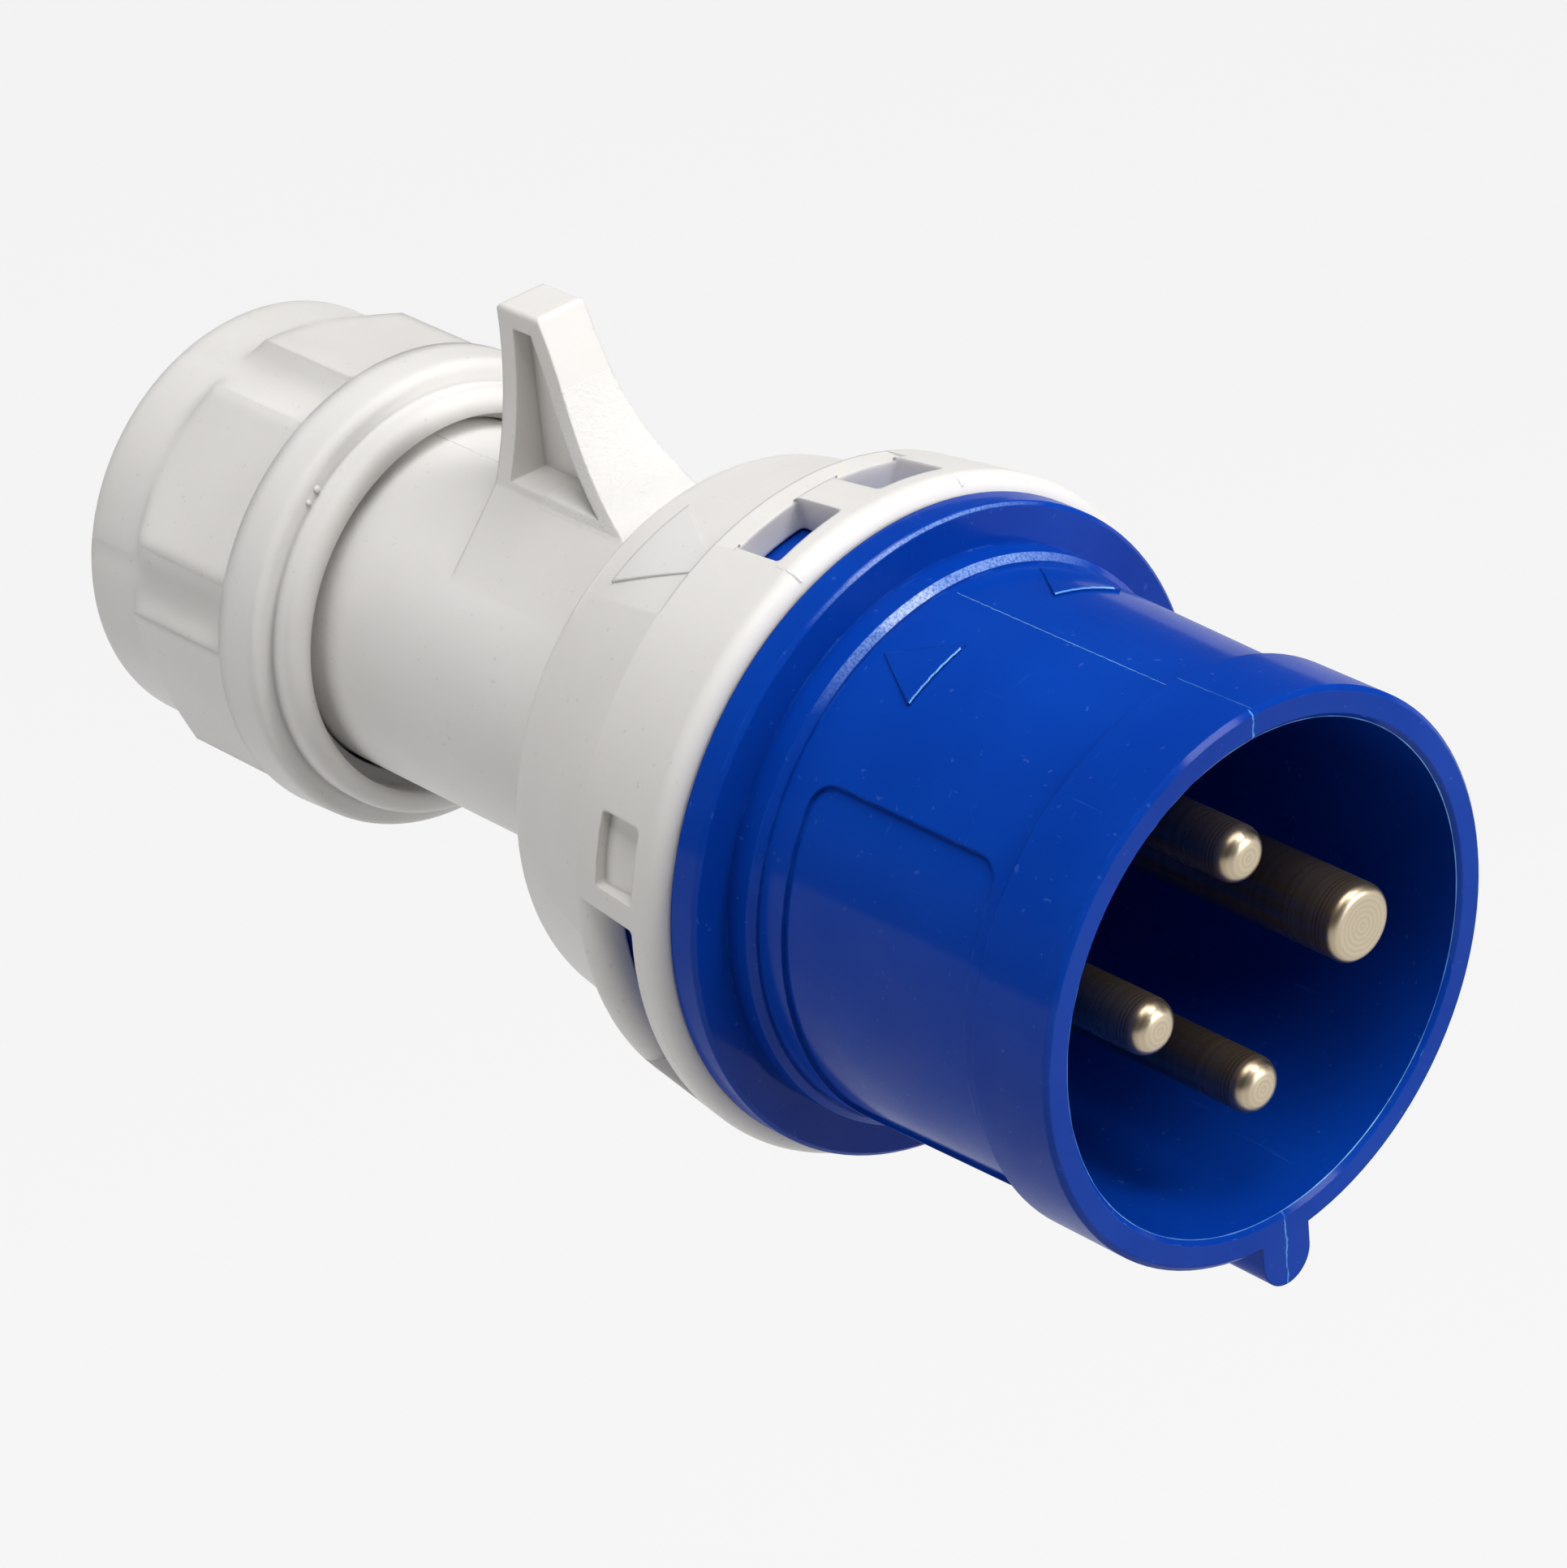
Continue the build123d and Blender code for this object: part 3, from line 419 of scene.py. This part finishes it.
def mark_shroud(tree, shader):
    """Adds the parting line, the polish, the satin edges and their painted highlight to the shroud's
    plastic.
    """
    marks = use_group(tree, parting_line_and_highlight)
    plain = shader.inputs["Base Color"].links[0].from_socket
    lined = mix_colour(tree, marks.outputs["Line"], plain, (0.10, 0.34, 0.78, 1.0))
    # The pale blue is a painted highlight along the tops of the step ring's and the flange's front edges.
    pale = math_node(tree, "MULTIPLY", marks.outputs["Painted_highlight"], 0.75)
    tree.links.new(mix_colour(tree, pale, lined, (0.26, 0.42, 0.78, 1.0)), shader.inputs["Base Color"])
    tree.links.new(marks.outputs["Polish"], shader.inputs["Coat Weight"])
    shader.inputs["Coat Roughness"].default_value = 0.12
    shader.inputs["Coat IOR"].default_value = 1.5


def roughen_fin(tree, shader):
    """Adds the rough patch on the fin's front to the housing's plastic."""
    marks = use_group(tree, sparked_face)
    smooth = shader.inputs["Normal"].links[0].from_socket
    tree.links.new(bumped(tree, marks.outputs["Pits"], smooth, 0.7, 0.0002), shader.inputs["Normal"])
    plain = shader.inputs["Base Color"].links[0].from_socket
    pale = math_node(tree, "MULTIPLY", marks.outputs["Patch"], 0.4)
    tree.links.new(mix_colour(tree, pale, plain, (0.84, 0.83, 0.815, 1.0)), shader.inputs["Base Color"])


shroud_blue, blue_tree, blue_shader = moulded_plastic(
    "shroud_blue",
    deep=(0.0014, 0.037, 0.32, 1.0),
    light=(0.0019, 0.048, 0.38, 1.0),
    worn=(0.03, 0.14, 0.58, 1.0),
    speck=(0.08, 0.18, 0.52, 1.0),
    roughness=0.34,
    gloss=0.01,
    edge_radius=0.00035,
    wear=0.3,
    scuff=0.2,
    dust=0.22,
    depth=0.0,
)
mark_shroud(blue_tree, blue_shader)
# Pale blue for thin ridges and beads on the shroud: a painted highlight along flash ridges and edges.
flash_painted_highlight, _, _ = moulded_plastic(
    "flash_painted_highlight",
    deep=(0.010, 0.12, 0.56, 1.0),
    light=(0.24, 0.58, 0.92, 1.0),
    worn=(0.45, 0.72, 0.94, 1.0),
    speck=(0.30, 0.55, 0.85, 1.0),
    roughness=0.3,
    gloss=0.4,
    edge_radius=0.00005,
    wear=0.3,
    scuff=0.5,
    dust=0.5,
    depth=0.0,
)
grey_shades = {
    "deep": (0.72, 0.70, 0.675, 1.0),
    "light": (0.77, 0.755, 0.735, 1.0),
    "worn": (0.83, 0.82, 0.80, 1.0),
    "speck": (0.5, 0.48, 0.45, 1.0),
    "roughness": 0.46,
    "gloss": 0.4,
    "edge_radius": 0.0004,
    "wear": 0.5,
    "scuff": 0.25,
    "dust": 0.3,
    "depth": 0.25,
}
plain_grey, _, _ = moulded_plastic("plain_grey", **grey_shades)
nut_grey, _, _ = moulded_plastic("nut_grey", **{**grey_shades, "edge_radius": 0.002, "wear": 0.1})
# Pale grey for the housing's flash ridges: a painted highlight along each ridge.
grey_highlight_shades = {
    **grey_shades,
    "deep": (0.84, 0.83, 0.81, 1.0),
    "light": (0.92, 0.91, 0.89, 1.0),
    "edge_radius": 0.00005,
}
grey_flash_highlight, _, _ = moulded_plastic("grey_flash_highlight", **grey_highlight_shades)
housing_grey, grey_tree, grey_shader = moulded_plastic("housing_grey", **grey_shades)
roughen_fin(grey_tree, grey_shader)


def contact_metal(name, tip):
    """Dull plate over brass on one pin: a bright turned end and a darker shank, rougher near its tip and
    painted lighter there as a sheen.
    """
    material, tree, shader = new_material(name)
    marks = use_group(tree, turned_marks, Tip=tip)
    edge = use_group(tree, edge_wear, Radius=0.0002)
    lines = spread(tree, marks.outputs["Lines"], 0.35, 0.65)
    shank = mix_colour(tree, lines, (0.25, 0.185, 0.12, 1.0), (0.31, 0.24, 0.165, 1.0))
    # Painted sheen: the shank turns lighter towards the tip, where it also grows rougher.
    brushed = math_node(tree, "MULTIPLY", marks.outputs["Brushed_sheen"], 0.5)
    shank = mix_colour(tree, brushed, shank, (0.50, 0.37, 0.22, 1.0))
    grooves = math_node(tree, "MULTIPLY", marks.outputs["Grooves"], 0.6)
    shank = mix_colour(tree, grooves, shank, (0.07, 0.05, 0.03, 1.0))
    face = mix_colour(tree, marks.outputs["Rings"], (0.545, 0.46, 0.33, 1.0), (0.61, 0.525, 0.39, 1.0))
    tree.links.new(mix_colour(tree, marks.outputs["Face"], shank, face), shader.inputs["Base Color"])
    tree.links.new(spread(tree, marks.outputs["Face"], 0.0, 0.4, 0.88, 1.0), shader.inputs["Metallic"])
    rough = spread(tree, marks.outputs["Lines"], 0.3, 0.7, 0.22, 0.25)
    rough = math_node(tree, "ADD", rough, math_node(tree, "MULTIPLY", marks.outputs["Brushed_sheen"], 0.12))
    tree.links.new(rough, shader.inputs["Roughness"])
    height = math_node(tree, "MULTIPLY", marks.outputs["Rings"], marks.outputs["Face"])
    tree.links.new(bumped(tree, height, edge.outputs["Normal"], 0.05, 0.00003), shader.inputs["Normal"])
    return material


def build_screw_metal():
    """Zinc-plated screws with a fine brushed look."""
    material, tree, shader = new_material("screw_metal")
    coords = place(tree, "ShaderNodeTexCoord").outputs["Object"]
    cloud = noise(tree, coords, 900.0, 3.0)
    colour = mix_colour(
        tree, spread(tree, cloud, 0.35, 0.65), (0.46, 0.47, 0.48, 1.0), (0.60, 0.60, 0.58, 1.0),
    )
    tree.links.new(colour, shader.inputs["Base Color"])
    shader.inputs["Metallic"].default_value = 1.0
    tree.links.new(spread(tree, cloud, 0.3, 0.7, 0.28, 0.42), shader.inputs["Roughness"])
    edge = use_group(tree, edge_wear, Radius=0.0002)
    tree.links.new(edge.outputs["Normal"], shader.inputs["Normal"])
    return material


def build_seal_rubber():
    """Matt black rubber with a dusty bloom."""
    material, tree, shader = new_material("seal_rubber")
    skin = use_group(tree, moulded_skin)
    colour = mix_colour(tree, skin.outputs["Flow"], (0.012, 0.012, 0.013, 1.0), (0.026, 0.025, 0.025, 1.0))
    tree.links.new(colour, shader.inputs["Base Color"])
    tree.links.new(spread(tree, skin.outputs["Grain"], 0.3, 0.7, 0.6, 0.78), shader.inputs["Roughness"])
    edge = use_group(tree, edge_wear, Radius=0.0004)
    normal = bumped(tree, skin.outputs["Grain"], edge.outputs["Normal"], 0.25, 0.00006)
    tree.links.new(normal, shader.inputs["Normal"])
    return material


screw_metal = build_screw_metal()
seal_rubber = build_seal_rubber()
pin_reach = PIN_CIRCLE_R * MM

finishes = {
    "front_shroud": shroud_blue,
    "contact_retainer": plain_grey,
    "housing": housing_grey,
    "clamp_cage": plain_grey,
    "gland_nut": nut_grey,
    "flange_seal": seal_rubber,
    "cable_grommet": seal_rubber,
    "phase_pin_1": contact_metal("contact_metal_1", (PHASE_TIP * MM, 0.0, pin_reach)),
    "phase_pin_2": contact_metal("contact_metal_2", (PHASE_TIP * MM, -pin_reach, 0.0)),
    "phase_pin_3": contact_metal("contact_metal_3", (PHASE_TIP * MM, 0.0, -pin_reach)),
    "earth_pin": contact_metal("contact_metal_earth", (EARTH_TIP * MM, pin_reach, 0.0)),
}
for name, node in nodes.items():
    node.data.materials.clear()
    node.data.materials.append(finishes.get(name, screw_metal))
    for face in node.data.polygons:
        face.material_index = 0


# Moulding marks and painted highlight beads: most are drawn flat, as (axis, arc, height) in mm, and then
# laid on a round wall


def wrap(bm, centre_deg, radius_at):
    """Lays flat marks on a round wall: x stays, y becomes arc length, z becomes height above the wall."""
    centre = math.radians(centre_deg)
    for vert in bm.verts:
        x, arc, height = vert.co
        angle = centre + arc / radius_at(x, centre)
        reach = radius_at(x, angle) + height
        vert.co = (x, reach * math.cos(angle), reach * math.sin(angle))


def finish_piece(bm, name, body, material):
    """Scales a piece from mm, gives it its finish and lets it ride on its body."""
    bmesh.ops.recalc_face_normals(bm, faces=bm.faces)
    bmesh.ops.scale(bm, vec=(MM, MM, MM), verts=bm.verts)
    mesh = bpy.data.meshes.new(name)
    bm.to_mesh(mesh)
    bm.free()
    piece = bpy.data.objects.new(name, mesh)
    bpy.context.scene.collection.objects.link(piece)
    mesh.materials.append(material)
    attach(piece, body)
    return piece


def arrow(name, body, slot, material, corners, radius_at, tip_height, base_height, sink=0.2):
    """A raised arrow head on a round wall; corners are (x, clock degrees), the first two at its base."""
    centre_deg = sum(angle for _, angle in corners) / len(corners)
    centre = math.radians(centre_deg)
    base, tip = corners[0][0], corners[-1][0]
    bm = bmesh.new()
    verts = []
    for x, angle in corners:
        arc = math.radians(angle - centre_deg) * radius_at(x, centre)
        verts.append(bm.verts.new((x, arc, 0.0)))
    lower = bm.faces.new(verts)
    bmesh.ops.triangulate(bm, faces=[lower])
    for _ in range(4):
        bmesh.ops.subdivide_edges(bm, edges=bm.edges, cuts=1, use_grid_fill=True)
    grown = bmesh.ops.extrude_face_region(bm, geom=bm.faces[:])["geom"]
    raised = {part for part in grown if isinstance(part, bmesh.types.BMVert)}
    bmesh.ops.translate(bm, vec=(0, 0, -sink), verts=[vert for vert in bm.verts if vert not in raised])
    for vert in raised:
        vert.co.z = between(vert.co.x, (base, base_height), (tip, tip_height))
    wrap(bm, centre_deg, radius_at)
    return finish_piece(bm, name, body, material)


def flash_and_highlight_line(name, body, slot, material, start, end, radius_at, width, height, sink=0.1):
    """A thin uneven ridge between two (x, clock degrees) points: a mould's seam where its halves met, and
    along the arrows' edges a ridge that carries a painted highlight.
    """
    centre_deg = (start[1] + end[1]) / 2
    wall = radius_at((start[0] + end[0]) / 2, math.radians(centre_deg))
    run = Vector((end[0] - start[0], math.radians(end[1] - start[1]) * wall))
    middle_x = (start[0] + end[0]) / 2
    aside = Vector((-run.y, run.x)).normalized()
    steps = max(8, int(run.length / 0.25))
    bm = bmesh.new()
    bmesh.ops.create_grid(bm, x_segments=steps, y_segments=2, size=0.5)
    for vert in bm.verts:
        along = vert.co.x * run.length
        uneven = 0.5 * math.sin(5.3 * along) + 0.3 * math.sin(13.1 * along + 1.0)
        uneven += 0.2 * math.sin(29.0 * along)
        crest = abs(vert.co.y) < 0.1
        across = vert.co.y * width + 0.25 * width * uneven
        spot = vert.co.x * run + across * aside
        vert.co = (middle_x + spot.x, spot.y, height * (0.75 + 0.25 * uneven) if crest else -sink)
    wrap(bm, centre_deg, radius_at)
    return finish_piece(bm, name, body, material)


def highlight_ring(name, body, slot, material, x, radius, thickness):
    """A thin uneven bead round the axis that carries a painted highlight along a round edge."""
    bm = bmesh.new()
    bmesh.ops.create_circle(bm, segments=6, radius=thickness)
    bmesh.ops.translate(bm, vec=(x, radius, 0.0), verts=bm.verts)
    section = bm.verts[:] + bm.edges[:]
    bmesh.ops.spin(
        bm, geom=section, cent=(0, 0, 0), axis=(1, 0, 0), angle=2 * math.pi, steps=240, use_merge=True,
    )
    for vert in bm.verts:
        angle = math.atan2(vert.co.z, vert.co.y)
        swell = 0.7 + 0.3 * math.sin(11 * angle) * math.sin(29 * angle + 0.7)
        reach = radius + swell * (math.hypot(vert.co.y, vert.co.z) - radius)
        station = x + swell * (vert.co.x - x)
        vert.co = (station, reach * math.cos(angle), reach * math.sin(angle))
    return finish_piece(bm, name, body, material)


def nib(name, body, slot, material, x, clock_deg, radius_at, size):
    """A small round nib left by the mould; size is its half lengths along axis, arc and radius."""
    bm = bmesh.new()
    bmesh.ops.create_uvsphere(bm, u_segments=16, v_segments=8, radius=1.0)
    bmesh.ops.scale(bm, vec=size, verts=bm.verts)
    bmesh.ops.translate(bm, vec=(x, 0.0, 0.0), verts=bm.verts)
    wrap(bm, clock_deg, radius_at)
    return finish_piece(bm, name, body, material)


BLUE = ("insert", "shroud_blue", shroud_blue)
FLASH_HIGHLIGHT = ("insert", "shroud_blue", flash_painted_highlight)
GREY = ("housing", "housing_grey", plain_grey)
GREY_FLASH_HIGHLIGHT = ("housing", "housing_grey", grey_flash_highlight)
NUT = ("nut", "housing_grey", plain_grey)

arrow("arrow_closed", *BLUE, [(-27.3, 102.8), (-27.3, 119.5), (-33.1, 111.9)], shroud_r, 0.1, ARROW_HEIGHT)
arrow("arrow_open", *BLUE, [(-27.5, 60.0), (-27.5, 78.6), (-33.1, 69.6)], shroud_r, 0.1, ARROW_HEIGHT)
arrow(
    "arrow_collar", *GREY,
    [(-61.4, 101.0), (-61.4, 122.8), (-51.9, 116.5), (-51.9, 113.2)],
    collar_rear_r, 0.15, 0.2,
)
# Pale ridges along the arrows' base edges: a painted highlight on those edges.
flash_and_highlight_line("arrow_closed_edge", *FLASH_HIGHLIGHT, (-27.3, 104.0), (-27.3, 119.2), arrow_edge_r, 0.16, 0.04)
flash_and_highlight_line("arrow_open_edge", *FLASH_HIGHLIGHT, (-27.5, 62.0), (-27.5, 78.4), arrow_edge_r, 0.16, 0.04)
# Seam ridges on the shroud; their paleness is a painted highlight.
flash_and_highlight_line("seam_shroud", *FLASH_HIGHLIGHT, (-33.4, 91.1), (RIM_BAND_REAR - 0.1, 89.7), shroud_r, 0.16, 0.06)
flash_and_highlight_line("seam_rim_band", *FLASH_HIGHLIGHT, (RIM_BAND_REAR + RIM_EDGE, 89.8), (-RIM_EDGE, 89.3), rim_r, 0.16, 0.06)
# Pale beads along the rim's outer and inner front edges: a painted highlight on the rim's chamfers.
highlight_ring("rim_highlight_outer", *FLASH_HIGHLIGHT, -0.07, RIM_BORE_R + RIM_EDGE, 0.06)
highlight_ring("rim_highlight_inner", *FLASH_HIGHLIGHT, -RIM_EDGE, RIM_BORE_R, 0.06)
# Seam ridges on the housing; their paleness is a painted highlight.
flash_and_highlight_line("seam_neck", *GREY_FLASH_HIGHLIGHT, (-102.5, 88.5), (-93.0, 88.5), neck_r, 0.35, 0.12)
flash_and_highlight_line("seam_lip_1", *GREY_FLASH_HIGHLIGHT, (-43.4, 111.5), (-40.5, 111.5), lip_r, 0.3, 0.025)
flash_and_highlight_line("seam_lip_2", *GREY_FLASH_HIGHLIGHT, (-43.4, 75.5), (-40.5, 75.5), lip_r, 0.3, 0.025)
nib("nut_nib_1", *NUT, NUT_RING_FRONT, 128.1, nut_nib_r, (0.3, 0.35, 0.35))
nib("nut_nib_2", *NUT, NUT_RING_FRONT, 132.0, nut_nib_r, (0.25, 0.3, 0.3))


# Light, floor and camera


MIDDLE = Vector((-0.06, 0.0, 0.0))
FLOOR_HEIGHT = -0.22
FLOOR_REACH = 6.0
PAPER_GREY = 0.7
PAPER_GLOW = 0.965
GLOW_SHARE = 0.9
SKY_GREY = 0.10


def area_lamp(name, place_at, size, power):
    """A soft square lamp aimed at the middle of the plug."""
    lamp = bpy.data.lights.new(name, "AREA")
    lamp.size = size
    lamp.energy = power
    holder = bpy.data.objects.new(name, lamp)
    holder.location = place_at
    holder.rotation_euler = (MIDDLE - Vector(place_at)).to_track_quat("-Z", "Y").to_euler()
    bpy.context.scene.collection.objects.link(holder)
    return holder


area_lamp("overhead", (0.05, 0.0, 0.60), 0.45, 3.6)
left_fill = area_lamp("left_fill", (-0.30, -0.62, 0.03), 0.5, 1.35)
left_fill.visible_glossy = False
area_lamp("front_light", (0.34, 0.21, 0.43), 0.2, 1.3)
area_lamp("right_light", (0.55, 0.30, 0.10), 0.3, 1.8)


def build_paper():
    """Pale seamless paper: it keeps the shadow, and shows as a plain pale ground."""
    material, tree, shader = new_material("paper")
    shader.inputs["Base Color"].default_value = (PAPER_GREY, PAPER_GREY, PAPER_GREY, 1.0)
    shader.inputs["Roughness"].default_value = 0.9
    glow = place(tree, "ShaderNodeEmission")
    glow.inputs["Color"].default_value = (PAPER_GLOW, PAPER_GLOW, PAPER_GLOW, 1.0)
    path = place(tree, "ShaderNodeLightPath")
    seen = math_node(tree, "ADD", path.outputs["Is Camera Ray"], path.outputs["Is Glossy Ray"], True)
    seen = math_node(tree, "ADD", seen, path.outputs["Is Transmission Ray"], True)
    blend = place(tree, "ShaderNodeMixShader")
    tree.links.new(math_node(tree, "MULTIPLY", seen, GLOW_SHARE), blend.inputs["Fac"])
    tree.links.new(shader.outputs["BSDF"], blend.inputs[1])
    tree.links.new(glow.outputs["Emission"], blend.inputs[2])
    tree.links.new(blend.outputs["Shader"], tree.nodes["Material Output"].inputs["Surface"])
    return material


floor_sheet = bmesh.new()
bmesh.ops.create_grid(floor_sheet, x_segments=1, y_segments=1, size=FLOOR_REACH)
floor_mesh = bpy.data.meshes.new("floor")
floor_sheet.to_mesh(floor_mesh)
floor_sheet.free()
floor = bpy.data.objects.new("floor", floor_mesh)
floor.location = (0.0, 0.0, FLOOR_HEIGHT)
floor_mesh.materials.append(build_paper())
bpy.context.scene.collection.objects.link(floor)

world = bpy.data.worlds.new("studio")
bpy.context.scene.world = world
world.use_nodes = True
sky = world.node_tree
sky.nodes["Background"].inputs["Color"].default_value = (SKY_GREY, SKY_GREY, SKY_GREY, 1.0)
sky.nodes["Background"].inputs["Strength"].default_value = 1.0

CAMERA_AZIMUTH = math.radians(39.578)
CAMERA_ELEVATION = math.radians(30.021)
CAMERA_ROLL = math.radians(-5.826)
CAMERA_DISTANCE = 578.8013 * MM
CAMERA_SHIFT = (39.2181 * MM, -15.9515 * MM)
PHOTO_WIDTH = 1931
FOCAL_PIXELS = 8839.66

back = Vector((
    math.cos(CAMERA_ELEVATION) * math.cos(CAMERA_AZIMUTH),
    -math.cos(CAMERA_ELEVATION) * math.sin(CAMERA_AZIMUTH),
    math.sin(CAMERA_ELEVATION),
))
right = (-back).cross(Vector((0.0, 0.0, 1.0))).normalized()
above = right.cross(-back)
right, above = (
    math.cos(CAMERA_ROLL) * right + math.sin(CAMERA_ROLL) * above,
    -math.sin(CAMERA_ROLL) * right + math.cos(CAMERA_ROLL) * above,
)
eye = CAMERA_DISTANCE * back - CAMERA_SHIFT[0] * right - CAMERA_SHIFT[1] * above
lens = bpy.data.cameras.new("camera")
lens.sensor_fit = "HORIZONTAL"
lens.sensor_width = 36.0
lens.lens = FOCAL_PIXELS * lens.sensor_width / PHOTO_WIDTH
lens.clip_start = 0.01
camera = bpy.data.objects.new("camera", lens)
camera.matrix_world = Matrix((
    (right.x, above.x, back.x, eye.x),
    (right.y, above.y, back.y, eye.y),
    (right.z, above.z, back.z, eye.z),
    (0.0, 0.0, 0.0, 1.0),
))
bpy.context.scene.collection.objects.link(camera)
bpy.context.scene.camera = camera
bpy.context.scene.view_settings.view_transform = "Standard"
